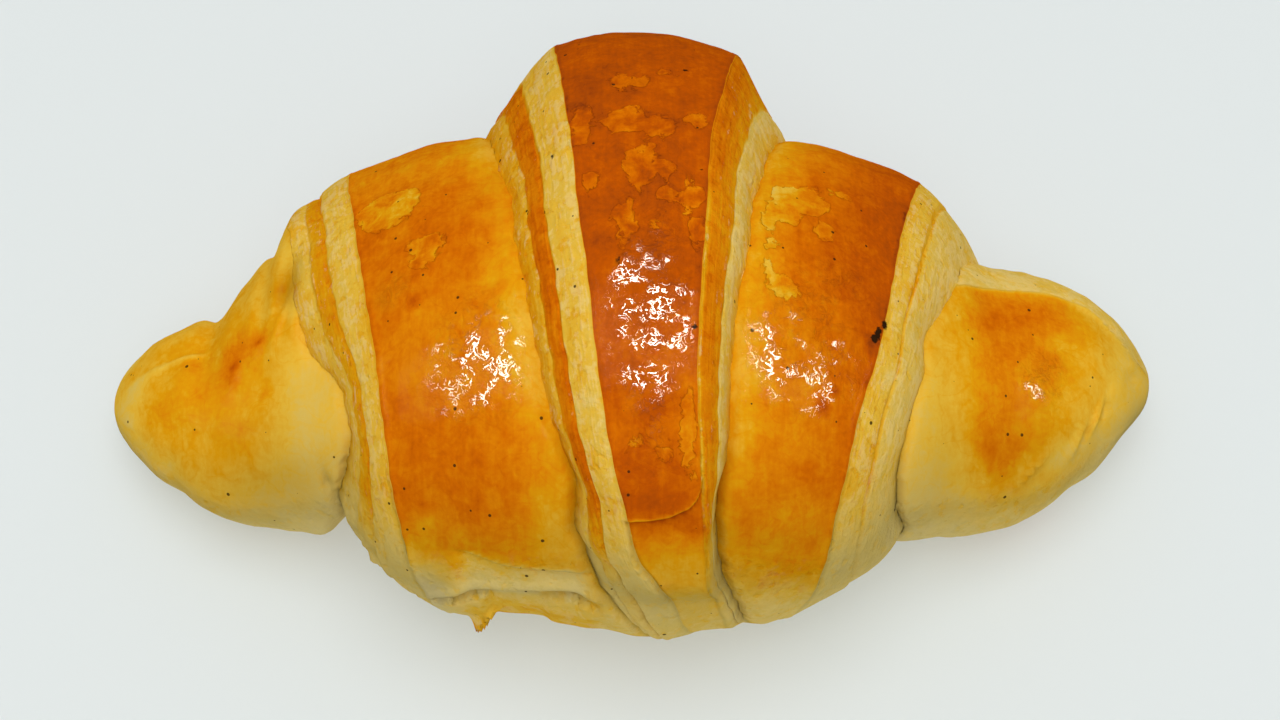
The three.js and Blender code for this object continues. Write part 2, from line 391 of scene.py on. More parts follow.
def horn_folds(x, angle):
    """The dough's own folds and puckers near the ends of the horns."""
    end = glaze_end(x)
    ridge = 0.45 * rise(angle, end - 3, end + 1) * between(x, 40, 67, 2) * fall(angle, 140, 170)
    folds = 0.35 * on_pale_fold(x, angle, 1.5) + ridge
    for at, middle, lean, wide, long, height in PUCKERS:
        round_way = (angle - at) * HORN_DEGREE
        across = x - middle - lean * round_way
        folds = folds + PUCKER * height * hump(across, 0, wide) * hump(round_way, 0, long)
    return folds


def roll_radius(x, angle):
    """How far the surface stands from the centreline, before the small unevenness of the dough."""
    outer_left, outer_right, middle_left, middle_right = bands(x, angle)
    horn = crust_radius(x, angle, angle + 720)
    horn = horn - 4.2 * hump(x, -44.4, 1.7) * hump(angle, 106, 13)  # the hollow behind the left shoulder
    horn = horn - 0.9 * hump(x, -36, 4) * hump(angle, 26, 24)  # where it goes in under the shoulder
    middle = lay_turn(horn, x, angle, angle + 360, (middle_left, middle_right), 1)
    middle = middle + crown(x, angle, left_edge(angle) - outer_left.width, left_edge(angle + 360))
    middle = middle + crown(x, angle, right_edge(angle) + outer_right.width, right_edge(angle + 360))
    tip = np.maximum(rise(angle, -3, 17), 0.3 * rise(angle, -25, -14))
    full = lay_turn(middle, x, angle, angle, (outer_left, outer_right), tip)
    return full + free_skin(x, angle) + torn_skin(x, angle) + tucked_foot(x, angle) + horn_folds(x, angle)


def settle(z):
    """Squashes what would sink below the surface that the roll lies on."""
    return np.where(z <= -SETTLE, 0, np.where(z < SETTLE, (z + SETTLE) ** 2 / (4 * SETTLE), z))


def place(x, angle, radius):
    turned = np.radians(angle)
    y = centre_depth(x) - WIDTH_SHARE * radius * np.cos(turned)
    z = centre_height(x) + HEIGHT_SHARE * radius * np.sin(turned)
    return np.stack([x + 0 * y, y, z], axis=-1)


# ---------------------------------------------------------------- the mesh's rings and segments

HALF_LENGTH = 70.0
CAP_LENGTH = 8.0  # the rounded end of each horn
# Rings in each stretch, from the left end: its cap and horn, the middle turn's cut edge in three strips,
# the left shoulder, the outer turn's cut edge in three strips, the outer crust, and so on to the right.
STRETCHES = (14, 54, 8, 8, 12, 56, 9, 9, 14, 51, 13, 10, 48, 11, 15, 54, 14)
RINGS = sum(STRETCHES)
# Where a cut edge has a sharp step, as shares of its width.
MIDDLE_LEFT_STEPS = (0.705, 0.445)
OUTER_LEFT_STEPS = (0.76, 0.505)
OUTER_RIGHT_STEP = 0.605
MIDDLE_RIGHT_STEP = 0.415
HALF_TIP = 1.2  # half of the least width that the outer crust's rings take, where its edges meet


def ring_knots(angle):
    """Where the stretches meet at each angle, so that rings run along every crisp edge."""
    left, right = left_edge(angle), right_edge(angle)
    middle = (left + right) / 2
    left, right = np.minimum(left, middle - HALF_TIP), np.maximum(right, middle + HALF_TIP)
    far_left, far_right = left_edge(angle + 360), right_edge(angle + 360)
    left_wide, right_wide = outer_left_band(angle), outer_right_band(angle)
    far_left_wide, far_right_wide = middle_left_band(angle), middle_right_band(angle)
    knots = np.stack([
        far_left - far_left_wide,
        *(far_left - step * far_left_wide for step in MIDDLE_LEFT_STEPS),
        far_left,
        left - left_wide,
        *(left - step * left_wide for step in OUTER_LEFT_STEPS),
        left,
        right,
        right + OUTER_RIGHT_STEP * right_wide,
        right + right_wide,
        far_right,
        far_right + MIDDLE_RIGHT_STEP * far_right_wide,
        far_right + far_right_wide], axis=-1)
    # The knots nearest the ends stay clear of the rounded ends, and a millimetre apart.
    first, last = -HALF_LENGTH + CAP_LENGTH, HALF_LENGTH - CAP_LENGTH
    for i in range(4):
        knots[..., i] = np.maximum(knots[..., i], first + 2 + i)
    for i in range(11, 14):
        knots[..., i] = np.minimum(knots[..., i], last - 15 + i)
    return knots


def ring_places(angles):
    """x of every ring at every angle, and how far each ring is rounded in at the ends."""
    hidden = rise(angles, 230, 335)[:, None]
    knots = mix(ring_knots(angles), ring_knots(np.full_like(angles, SEAM)), hidden)
    straight = HALF_LENGTH - CAP_LENGTH
    crowded = 0.8  # how much closer the rings are at both ends of a stretch
    ends = np.full((len(angles), 1), straight)
    spots = np.concatenate([-ends, knots, ends], axis=1)
    xs, caps = [], []
    for i, count in enumerate(STRETCHES):
        for u in np.arange(count) / count:
            if i in (0, len(STRETCHES) - 1):
                side, turn = (1, u * pi / 2) if i else (-1, (1 - u) * pi / 2)
                xs.append(np.full(len(angles), side * (straight + CAP_LENGTH * sin(turn))))
                caps.append(cos(turn))
            else:
                share = u - crowded * sin(2 * pi * u) / (2 * pi)
                xs.append(mix(spots[:, i - 1], spots[:, i], share))
                caps.append(1.0)
    xs.append(np.full(len(angles), HALF_LENGTH))
    caps.append(0.0)
    return np.array(xs), np.array(caps)[:, None]


def segment_angles():
    """Closer together on the front and top, where most of the detail is."""
    close, last = 172, 138.0
    front = np.linspace(SEAM, last, close, endpoint=False)
    back = np.linspace(last, SEAM + 360, SEGMENTS - close, endpoint=False)
    return np.concatenate([front, back])


def gather(angle, x, line, left, right):
    """Crowds the segments along a crisp line, so that its step is sharp."""
    reach = 1.3  # millimetres on both sides
    away = angle - line(x)
    return angle - away * between(x, left, right, 1.5) * hump(away * OUTER_DEGREE, 0, reach)


# ---------------------------------------------------------------- marks on the crust

# Where the glaze dried wrinkled: angle, x, spread round the roll in degrees, spread along it, strength.
WRINKLES = (
    (70, 2.2, 17, 4.8, 1.0), (64, -18.5, 15, 6.5, 0.8), (84, -29, 5, 3, 0.6), (66, 21, 14, 7, 0.9),
    (84, 26, 6, 5, 0.6), (72, 53, 17, 3.5, 0.75), (46, 2, 8, 2, 0.4), (99, 2, 12, 8, 0.25))
# Where the top skin blistered and flaked off: angle, x, half its width, half its length round the roll.
FLAKED = (
    (107, -0.8, 2.4, 2.3), (105, 3.6, 1.9, 2.0), (107, -6.2, 1.4, 2.8), (108, 8.0, 1.8, 1.6),
    (117, -0.4, 2.6, 1.6), (120, 3.6, 1.5, 0.8), (96, 0.9, 2.2, 2.8), (85, -0.6, 1.4, 3.3),
    (85, 2.9, 0.9, 1.1), (91, 4.2, 1.4, 0.9), (96, 4.5, 1.6, 0.9), (91, 7.3, 1.5, 3.2),
    (85, 7.8, 1.0, 2.0), (94, -4.9, 1.0, 1.3), (100, 1.8, 1.9, 1.1), (48, 6.7, 0.9, 4.2),
    (46, 0.6, 0.8, 1.4), (45, 3.9, 0.7, 0.9), (111, -30.8, 4.4, 4.6), (93, -25.3, 2.4, 2.7),
    (106, 20.8, 4.2, 3.6), (99, 18.6, 2.2, 2.0), (97, 23.6, 1.7, 1.7), (90, 17.1, 1.1, 3.6),
    (83, 16.7, 1.2, 2.0), (79, 18.5, 1.9, 1.6), (112, 25.5, 1.6, 1.2))
# Scorched and burnt spots, in the same order.
SCORCHED = (
    (54.5, 23.1, 1.1, 1.5), (58, 24.5, 0.8, 0.7), (80, -26.5, 0.8, 1.2), (95, -48.0, 0.8, 0.6),
    (90, -51.3, 0.6, 1.1), (71, 29.2, 0.9, 1.7))
BURNT = (
    (76.5, 31.0, 0.45, 0.8), (74.5, 30.3, 0.5, 0.9), (72.5, 29.6, 0.3, 0.5), (122, 6.7, 0.55, 0.45),
    (96, 8.5, 0.5, 0.5), (78, -1.5, 0.35, 0.6), (76, -3.2, 0.3, 0.3), (67, 7.5, 0.35, 0.3),
    (103, -9.4, 0.3, 0.55))


def spotted(x, angle, spots):
    """The sum of a table's soft spots."""
    return sum(strength * hump(angle, at, spread) * hump(x, middle, width)
               for at, middle, spread, width, strength in spots)


def wrinkled(x, angle):
    return np.clip(spotted(x, angle, WRINKLES), 0, 1)


def marked(x, angle, marks):
    """More than 0 inside the nearest mark, 0 on its edge, and less than 0 outside."""
    inside = np.full(np.shape(x), -2.0)
    for at, middle, wide, long in marks:
        round_way = (angle - at) * OUTER_DEGREE
        away = np.hypot((x - middle) / wide, round_way / long)
        inside = np.maximum(inside, (1 - away) * min(wide, long) / 2)
    return inside


# ---------------------------------------------------------------- building the roll

def set_out_roll():
    """A sphere's rings and segments, and the places that they take on the roll instead."""
    bpy.ops.object.select_all(action="DESELECT")
    bpy.ops.mesh.primitive_uv_sphere_add(segments=SEGMENTS, ring_count=RINGS, radius=1, location=(0, 0, 0))
    roll = bpy.context.object
    roll.name = roll.data.name = "croissant_baked_roll"

    spots = np.empty(len(roll.data.vertices) * 3)
    roll.data.vertices.foreach_get("co", spots)
    spots = spots.reshape(-1, 3)
    ring = np.rint(np.arccos(np.clip(spots[:, 2], -1, 1)) / pi * RINGS).astype(int)
    segment = np.rint(np.arctan2(spots[:, 1], spots[:, 0]) / (2 * pi) * SEGMENTS).astype(int) % SEGMENTS

    angles = segment_angles()
    xs, caps = ring_places(angles)
    x, cap = xs[ring, segment], caps[ring, 0]
    angle = angles[segment]
    angle = gather(angle, x, flap_end, *FLAP)
    angle = gather(angle, x, skin_tear, *TEAR)

    radius = roll_radius(x, angle)
    at = place(x, angle, radius * cap)
    rough = rise(angle, 92, 125) + 0.8 * fall(below(angle), -6, 22)
    lumpy_ends = 0.8 * rise(x, 54, 64) + 0.4 * rise(-x, 46, 60)
    radius = radius + 0.40 * noise(at, 16, seed=11, octaves=2)
    radius = radius + 0.08 * noise(at, 3.2, seed=12, octaves=2)
    radius = radius + 0.20 * wrinkled(x, angle) * noise(at, 1.9, seed=13, octaves=2)
    radius = radius + 0.20 * rough * noise(at, 4.2, seed=14, octaves=3)
    radius = radius + lumpy_ends * noise(at, 5.5, seed=15, octaves=2)
    at = place(x, angle, radius * cap)
    at[:, 2] = settle(at[:, 2])
    return roll, at, x, angle, segment


roll, at, x, angle, segment = set_out_roll()
mesh = roll.data

# The roll is centred in the CAD box from front to back, and lies on the table.
cad_low, cad_high = (np.array(corner) / MM for corner in cad_box)
low, high = at.min(axis=0), at.max(axis=0)
shift = np.array([0.0, (cad_low[1] + cad_high[1]) / 2 - (low[1] + high[1]) / 2, -low[2]])
mesh.vertices.foreach_set("co", ((at + shift) * MM).ravel())
mesh.update()


# ---------------------------------------------------------------- how baked each place is, and where shade is painted

# How baked each crust is, by angle: 0 is pale dough, 1 is dark brown.
outer_bake = through(
    (-25, 0.18), (0, 0.19), (10, 0.24), (18, 0.32), (26, 0.48), (31, 0.66), (34, 0.72), (50, 0.71),
    (60, 0.70), (75, 0.77), (90, 0.78), (110, 0.77), (130, 0.76), (160, 0.78), (220, 0.6), (260, 0.35),
    (335, 0.1))
left_bake = through(
    (-25, 0.16), (4, 0.24), (10, 0.34), (20, 0.46), (28, 0.54), (40, 0.59), (52, 0.57), (64, 0.50),
    (80, 0.52), (92, 0.60), (110, 0.60), (130, 0.50), (170, 0.66), (220, 0.5), (335, 0.08))
right_bake = through(
    (-25, 0.14), (2, 0.25), (10, 0.38), (20, 0.46), (32, 0.52), (50, 0.50), (62, 0.53), (76, 0.58),
    (90, 0.62), (110, 0.62), (130, 0.58), (170, 0.62), (220, 0.5), (335, 0.08))
# What the right shoulder adds to that, from its inner edge (0) to its outer one (1).
right_across = through((0, -0.26), (0.15, -0.14), (0.35, -0.02), (0.6, 0.06), (0.85, 0.16), (1, 0.18))
# How baked the horns are, by x, and the share of it that shows, by angle.
left_horn_bake = through(
    (-70, 0.26), (-66, 0.32), (-61, 0.38), (-56, 0.40), (-51, 0.38), (-46, 0.34), (-41, 0.26), (-36, 0.2))
right_horn_bake = through(
    (36, 0.24), (41, 0.34), (46, 0.48), (51, 0.48), (56, 0.42), (61, 0.30), (66, 0.22), (70, 0.2))
horn_round = through(
    (-25, 0.2), (0, 0.35), (20, 0.6), (45, 0.9), (70, 1), (105, 1), (130, 0.8), (200, 0.8), (270, 0.3),
    (335, 0.2))

# Darker and paler places on the horns: angle, x, half length round the roll, half width, change.
HORN_SPOTS = (
    (96, -48.5, 1.2, 1.8, 0.18), (90, -51.6, 2.6, 1.3, 0.18), (30, 56, 2, 3, -0.12),
    # The darker spot at 108 degrees, x -44.2, is painted shade in the hollow behind the left shoulder.
    (55, -61, 5, 4, 0.05), (108, -44.2, 1.6, 2, 0.14), (106, -43, 1.6, 1.6, -0.15),
    (60, -42, 6, 2.5, -0.08), (108, 51, 3.0, 5.5, 0.12), (96, 46, 3, 3, 0.10), (38, 46.5, 4, 3, 0.14),
    (100, 60, 3.0, 4, 0.06), (60, 56, 3, 3, -0.06), (90, 55.5, 1.4, 1.8, -0.12))

# How baked each cut edge is, from its crust (0) to the next turn (1).
outer_left_bake = steps(
    (0, 0.24), (0.4, 0.28), (0.495, 0.26), (0.515, 0.58), (0.7, 0.6), (0.76, 0.5), (0.775, 0.34),
    (1, 0.36))
outer_right_bake = steps((0, 0.56), (0.3, 0.52), (0.55, 0.44), (0.6, 0.42), (0.615, 0.2), (1, 0.24))
middle_left_bake = steps(
    (0, 0.3), (0.3, 0.24), (0.44, 0.26), (0.455, 0.44), (0.65, 0.4), (0.7, 0.36), (0.715, 0.26), (1, 0.3))
middle_right_bake = steps(
    (0, 0.3), (0.3, 0.26), (0.41, 0.3), (0.42, 0.37), (0.47, 0.32), (0.49, 0.22), (1, 0.2))
CUT_GLAZE = 0.12  # how glazed a cut edge is


def horn_bake(x, angle, past_glaze):
    bake = np.where(x < 0, left_horn_bake(x), right_horn_bake(x)) * horn_round(angle)
    for at, middle, long, wide, change in HORN_SPOTS:
        bake = bake + change * hump((angle - at) * HORN_DEGREE, 0, long) * hump(x, middle, wide)
    bake = bake - 0.12 * on_pale_fold(x, angle, 1.8)
    return mix(bake, 0.2, past_glaze)


def shoulder_bake(x, angle, outer_left, outer_right):
    """The shoulders' crust, paler beside the outermost turn and low on the left."""
    left, right = left_edge(angle), right_edge(angle)
    inner, outer = left - outer_left.width, left_edge(angle + 360)
    across = np.clip((inner - x) / (inner - outer), 0, 1)
    on_left = left_bake(angle) - 0.20 * fall(across, 0, 0.34) * rise(angle, 0, 30)
    on_left = on_left - 0.24 * rise(across, 0.7, 1) * fall(angle, 8, 26)
    inner, outer = right + outer_right.width, right_edge(angle + 360)
    across = np.clip((x - inner) / (outer - inner), 0, 1)
    on_right = right_bake(angle) + right_across(across) * rise(angle, 20, 70)
    on_right = on_right - 0.14 * fall(across, 0, 0.3) * hump(angle, 25, 18)
    return np.where(x < (left + right) / 2, on_left, on_right)


def torn_bake(x, angle):
    """What the left shoulder's tear, with its painted highlight and shadow, the layer under it and the
    tucked foot change.
    """
    low = below(angle)
    past = past_tear(x, angle)
    # At the tear: a painted shadow just below it and a painted highlight along its lip.
    edge = 0.2 * hump(past, 0.3, 0.3) - 0.24 * hump(past, -0.12, 0.25)
    layer = 0.12 * rise(past, 0, 0.3) * rise(angle, -12, 0)
    pale_spot = 0.15 * hump(x, -24.7, 1.7) * hump(angle, 26, 4)
    foot = 0.12 * rise(past_tuck(x, low), 1.2, 2.5) * between(x, *TUCK, 2.0) * rise(low, -75, -40)
    return (edge - layer) * between(x, *TEAR, 1.2) - pale_spot + foot


def tip_bake(x, angle):
    """The outermost crust, with a painted highlight along the free skin's edge and a painted shadow below
    it, and a paler right side.
    """
    left, right = left_edge(angle), right_edge(angle)
    past = past_flap(x, angle)
    across = (x - left) / np.maximum(right - left, 1)
    # At the free skin's end: a painted highlight on its edge and a painted shadow just below it.
    skin_edge_highlight_and_shadow = 0.26 * hump(past, 0.25, 0.22) - 0.30 * hump(past, -0.05, 0.22)
    right_side = 0.10 * rise(across, 0.7, 1) * fall(angle, 60, 75) * rise(angle, 30, 34)
    return outer_bake(angle) + skin_edge_highlight_and_shadow - right_side


def bake_and_glaze(x, angle):
    """How baked each place is, with painted shade and highlights along some creases and skin edges, and how
    much glaze is on it, both about 0 to 1.
    """
    outer_left, outer_right, middle_left, middle_right = bands(x, angle)
    low = below(angle)
    past_glaze = rise(angle, glaze_end(x) - 1.5, glaze_end(x) + 1.5) * rise(x, 38, 41)
    bake = horn_bake(x, angle, past_glaze)
    glaze = 0.75 * rise(angle, 5, 40) * fall(angle, 190, 240) * (1 - 0.8 * past_glaze)
    top = rise(angle, 8, 30) * (1 - 0.6 * rise(angle, 104, 135)) * fall(angle, 200, 240)

    shoulder = shoulder_bake(x, angle, outer_left, outer_right) + torn_bake(x, angle)
    egg = (0.34 + 0.2 * rise(-low, 19, 24)) * rise(crumb(x, low), 0.1, 0.3)
    on_shoulder = (x > left_edge(angle + 360)) & (x < right_edge(angle + 360))
    bake = np.where(on_shoulder, np.maximum(shoulder, egg), bake)
    glaze = np.where(on_shoulder, top, glaze)

    on_tip = (x > left_edge(angle)) & (x < right_edge(angle))
    bake = np.where(on_tip, tip_bake(x, angle), bake)
    glaze = np.where(on_tip, top, glaze)

    over_top = fall(angle, 200, 240)
    shown = (0.15 + 0.85 * rise(angle, 8, 38)) * fall(angle, 240, 320)
    # Each cut edge takes its own bake, with painted shade along the crease at its foot.
    for band, shade, crease_shade in (
            (middle_left, middle_left_bake, 0.03), (middle_right, middle_right_bake, 0.03),
            (outer_left, outer_left_bake, 0.03), (outer_right, outer_right_bake, 0.08)):
        bake = np.where(band.inside, mix(0.08, shade(band.share), shown), bake)
        bake = bake + crease_shade * hump(band.past - band.width, 0, 0.45) * rise(angle, 5, 30) * over_top
        bake = bake + 0.05 * hump(band.past, -0.2, 0.3) * rise(angle, 30, 60) * over_top
        glaze = np.where(band.inside, CUT_GLAZE, glaze)
    # A thin pale line just past the outermost turn's right edge: a painted highlight along its rim.
    bake = bake - 0.22 * hump(outer_right.past, 0.2, 0.22) * between(angle, 33, 92, 5)
    return bake, glaze


# Painted shade low on the front, where less light falls: how much it darkens the dough, by angle.
painted_low_shade = through((-60, 0), (-20, 0.05), (-10, 0.10), (8, 0.27), (30, 0.14), (50, 0.02), (60, 0))
# Other places with painted shade: angle, x, spread round the roll in degrees, spread along it, strength.
PAINTED_SHADE_SPOTS = (
    (108, -44.2, 6, 2.0, 0.32), (34, -46, 18, 9, 0.20), (40, 39, 25, 3, 0.08), (57, -50, 15, 8, 0.11),
    (44, 49, 17, 9, 0.12))


def painted_shade_amount(x, angle):
    """How much painted shade darkens each place: low on the front, along the creases, and on the horns."""
    low = below(angle)
    strip = rise(past_tear(x, low), 0, 0.5) * rise(low, -2, 4) * between(x, -22, -5.5, 1.2)
    dull = painted_low_shade(low) * (1 - 0.5 * strip)
    for band in bands(x, angle):
        # Painted shade along the crease at the foot of each cut edge, and just past each crust's edge.
        lines = 0.22 * hump(band.past - band.width, 0, 0.4) + 0.12 * hump(band.past, 0.15, 0.25)
        dull = dull + (band.past > -3) * lines * fall(low, 30, 50)
    dull = dull + spotted(x, low, PAINTED_SHADE_SPOTS) + 0.10 * rise(x, 62, 68)
    return np.clip(dull * fall(crumb(x, low), 0.1, 0.3), 0, 0.6)


def store(name, values):
    layer = mesh.attributes.new(name, "FLOAT", "POINT")
    layer.data.foreach_set("value", np.asarray(values, np.float32))


def store_lay():
    """Millimetres past the nearest edge of the sheet, round the roll and along it, split at the seam."""
    def lay(angle):
        outer_left, outer_right, middle_left, middle_right = (
            np.where(band.inside, band.past, 0) for band in bands(x, angle))
        outer = (outer_left + outer_right) * rise(angle, -3, 17) * fall(angle, 240, 320)
        past = outer + middle_left + middle_right
        return np.stack([past, angle * OUTER_DEGREE, x], axis=-1)

    corners = np.empty(len(mesh.loops), int)
    mesh.loops.foreach_get("vertex_index", corners)
    first, counts = np.empty(len(mesh.polygons), int), np.empty(len(mesh.polygons), int)
    mesh.polygons.foreach_get("loop_start", first)
    mesh.polygons.foreach_get("loop_total", counts)
    face = np.repeat(np.arange(len(first)), counts)
    at_end = np.zeros(len(first), bool)
    np.logical_or.at(at_end, face, segment[corners] == SEGMENTS - 1)
    wraps = at_end[face] & (segment[corners] == 0)
    values = np.where(wraps[:, None], lay(angle + 360)[corners], lay(angle)[corners])
    layer = mesh.attributes.new("lay", "FLOAT_VECTOR", "CORNER")
    layer.data.foreach_set("vector", values.astype(np.float32).ravel())


bake, glaze = bake_and_glaze(x, angle)
store("bake", bake)
store("glaze", glaze)
store("dull", painted_shade_amount(x, angle))
store("wrinkled", wrinkled(x, angle))
store("flaked", marked(x, angle, FLAKED))
store("scorched", marked(x, angle, SCORCHED))
store("burnt", marked(x, angle, BURNT))
store_lay()


# ---------------------------------------------------------------- shader maths

class Wire:
    """A socket that takes part in Python expressions, each operator adding its Math node."""

    def __init__(self, tree, socket):
        self.tree, self.socket = tree, socket

    def _math(self, operation, *values):
        return self.tree.node("ShaderNodeMath", {"operation": operation}, dict(enumerate(values)))

    def __add__(self, other):
        return self._math("ADD", self, other)

    def __radd__(self, other):
        return self._math("ADD", other, self)

    def __sub__(self, other):
        return self._math("SUBTRACT", self, other)

    def __rsub__(self, other):
        return self._math("SUBTRACT", other, self)

    def __mul__(self, other):
        return self._math("MULTIPLY", self, other)

    def __rmul__(self, other):
        return self._math("MULTIPLY", other, self)

    def _spread(self, low, high, settings):
        values = {0: self, 1: low, 2: high, 3: 0.0, 4: 1.0}
        return self.tree.node("ShaderNodeMapRange", {"clamp": True, **settings}, values)

    def clipped(self, low, high):
        """0 at low, 1 at high, straight between."""
        return self._spread(low, high, {})

    def eased(self, low, high):
        """0 at low, 1 at high, smooth between."""
        return self._spread(low, high, {"interpolation_type": "SMOOTHSTEP"})


class Finish:
    """A material's or the room's node tree, with one method that adds any node."""

    def __init__(self, name, shelf):
        self.material = shelf.new(name)
        self.material.use_nodes = True
        self.nodes = self.material.node_tree.nodes
        self.links = self.material.node_tree.links
        self.nodes.clear()

    def node(self, kind, settings=None, values=None, output=0):
        made = self.nodes.new(kind)
        for key, value in (settings or {}).items():
            if key == "stops":
                ramp = made.color_ramp
                while len(ramp.elements) < len(value):
                    ramp.elements.new(0.5)
                for element, (position, tint) in zip(ramp.elements, value):
                    element.position, element.color = position, (*tint, 1)
            else:
                setattr(made, key, value)
        for key, value in (values or {}).items():
            if isinstance(value, Wire):
                self.links.new(value.socket, made.inputs[key])
            else:
                made.inputs[key].default_value = value
        return Wire(self, made.outputs[output])

    def attribute(self, name):
        return self.node("ShaderNodeAttribute", {"attribute_name": name}, output="Fac")

    def colours(self, share, first, second):
        settings = {"data_type": "RGBA", "blend_type": "MIX"}
        return self.node("ShaderNodeMix", settings, {0: share, 6: first, 7: second}, output=2)

    def shade(self, values, kind="ShaderNodeBsdfPrincipled", end="ShaderNodeOutputMaterial"):
        surface = self.node(kind, {}, values)
        self.links.new(surface.socket, self.nodes.new(end).inputs["Surface"])


def colour(red, green, blue):
    """A colour as an eye reads it, 0 to 255, as the amounts of light that a shader takes."""
    def light(value):
        value /= 255
        return value / 12.92 if value <= 0.04045 else ((value + 0.055) / 1.055) ** 2.4
    return light(red), light(green), light(blue)


# ---------------------------------------------------------------- baked dough

# The dough's colour, from pale (0) to dark brown (1).
DOUGH_STOPS = (
    (0.00, colour(206, 185, 124)), (0.12, colour(219, 189, 100)), (0.25, colour(230, 182, 58)),
    (0.38, colour(225, 157, 14)), (0.50, colour(221, 129, 8)), (0.62, colour(210, 106, 3)),
    (0.75, colour(190, 83, 4)), (0.88, colour(164, 70, 10)), (1.00, colour(118, 48, 14)))
PALE_LAYER = (*colour(236, 216, 152), 1)
# The black that painted shade mixes into the dough.
SHADE = (0.0, 0.0, 0.0, 1)
SPECK = (*colour(58, 34, 14), 1)
CHAR = (*colour(48, 28, 12), 1)


def baked_dough():
    """Colour by how baked a place is, layers on the cut edges, flakes, specks, painted shade, and wrinkled
    glaze.
    """
    finish = Finish("baked_dough", bpy.data.materials)
    spot = finish.node("ShaderNodeTexCoord", output="Object")
    lay = finish.node("ShaderNodeAttribute", {"attribute_name": "lay"}, output="Vector")
    bake, glaze, dull, wrinkles, flakes, scorched, burnt = (
        finish.attribute(name)
        for name in ("bake", "glaze", "dull", "wrinkled", "flaked", "scorched", "burnt"))

    def grain(scale, detail=3.0, roughness=0.5, distortion=0.0, along=None):
        vector = spot
        if along:
            vector = finish.node("ShaderNodeVectorMath", {"operation": "MULTIPLY"}, {0: lay, 1: along})
        return finish.node("ShaderNodeTexNoise", {"noise_dimensions": "3D"}, {
            "Vector": vector, "Scale": scale, "Detail": detail, "Roughness": roughness,
            "Distortion": distortion})

    broad = grain(60)
    blotch = grain(150, 3.0, 0.55, 0.5)
    mottle = grain(330, 4.0, 0.6, 0.4)
    ragged = grain(420, 4.0, 0.65, 0.6)
    fine = grain(1500, 3.0, 0.6)
    layers = grain(1.0, 3.0, 0.6, along=(2.6, 0.12, 0.2))
    streaks = grain(1.0, 3.0, 0.6, along=(0.0, 0.14, 1.3))
    cut = 1 - glaze.clipped(CUT_GLAZE, 0.4)

    # How baked each place is: its own bake, uneven, with pits and layers on the cut edges, a web of fine
    # lines in the glaze, flakes with darker rims, and scorched spots.
    strength = (bake * 1.6).clipped(0.1, 0.9) * 0.75 + 0.25
    uneven = (broad - 0.5) * 0.20 + (blotch - 0.5) * 0.26 + (mottle - 0.5) * 0.34 + (fine - 0.5) * 0.19
    in_lines = cut * (layers - 0.5) * 0.34 + (1 - cut) * (streaks - 0.5) * 0.17
    pits = (0.43 - grain(800, 2.0, 0.5)).clipped(0.0, 0.08) * cut
    web = grain(230, 2.0, 0.5, 0.8) - 0.5
    web = (1 - (web * web).eased(0.0, 0.0012)) * (1 - cut)
    peel = (flakes + (ragged - 0.5) * 2.0 + (mottle - 0.5) * 1.4).eased(0.02, 0.16)
    rim = peel * (1 - peel) * 4
    level = bake + strength * (uneven + in_lines) + pits * 0.06 + web * 0.03
    level = level + peel * ((mottle - 0.5) * 0.5 - 0.13) + rim * 0.05
    level = level + (scorched + (ragged - 0.5) * 0.5).eased(-0.25, 0.5) * 0.26
    dough = finish.node("ShaderNodeValToRGB", {"stops": DOUGH_STOPS}, {"Fac": level})

    cell = {"Vector": spot, "Scale": 480.0, "Randomness": 1.0}
    near = finish.node("ShaderNodeTexVoronoi", {"feature": "F1"}, cell, output="Distance")
    pick = finish.node("ShaderNodeTexVoronoi", {"feature": "F1"}, cell, output="Color")
    lucky = finish.node("ShaderNodeSeparateColor", {}, {0: pick}, output=0)
    speck = (lucky * lucky * 0.13 - near).clipped(0.0, 0.015) * 0.9
    char = (burnt + (ragged - 0.5) * 0.7).eased(0.0, 0.08)
    porous = (ragged * 0.6 + layers * 0.5 + fine * 0.3 - bake * 0.5).eased(0.54, 0.66)
    dough = finish.colours(cut * porous * (0.36 - dull), dough, PALE_LAYER)
    # Painted shade: the dough darkened towards black.
    dough = finish.colours(dull, dough, SHADE)
    dough = finish.colours(speck, dough, SPECK)
    dough = finish.colours(char, dough, CHAR)

    # The dried glaze's wrinkles are thin curling ridges that catch the light.
    folds = grain(820, 1.5, 0.5, 1.4) - 0.5
    patchy = grain(400, 2.0, 0.5).clipped(0.43, 0.54)
    curls = (1 - (folds * folds).eased(0.0002, 0.0011)) * (wrinkles * 1.4).clipped(0.25, 1.0) * patchy
    pores = grain(1100, 2.0, 0.5)
    in_glaze = curls * 0.30 + folds * wrinkles + grain(900, 2.0, 0.5, 0.8) * (wrinkles * 0.6 + glaze * 0.15)
    on_cut = cut * (layers * 0.5 + pores * 0.6 + ragged * 0.8 - pits * 0.15)
    height = in_glaze + mottle * 0.4 + on_cut - peel * 0.35 + char * 0.5
    normal = finish.node("ShaderNodeBump", {}, {"Strength": 1.0, "Distance": 0.0004, "Height": height})
    rough = 0.80 - glaze * 0.25 + peel * 0.15 + (blotch - 0.5) * 0.3
    gloss = glaze * 0.006 + curls.eased(0.15, 0.7)
    finish.shade({
        "Base Color": dough, "Roughness": rough, "Normal": normal, "IOR": 1.0, "Specular IOR Level": 0.0,
        "Coat Weight": gloss, "Coat Roughness": 0.10, "Coat IOR": 1.5})
    return finish.material


roll.data.materials.clear()
roll.data.materials.append(baked_dough())
bpy.ops.object.mode_set(mode="EDIT")
bpy.ops.mesh.select_all(action="SELECT")
bpy.ops.mesh.normals_make_consistent(inside=False)
bpy.ops.object.mode_set(mode="OBJECT")
bpy.ops.object.shade_smooth()

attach(roll, "root")
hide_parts("croissant")


# ---------------------------------------------------------------- the table, the light and the camera

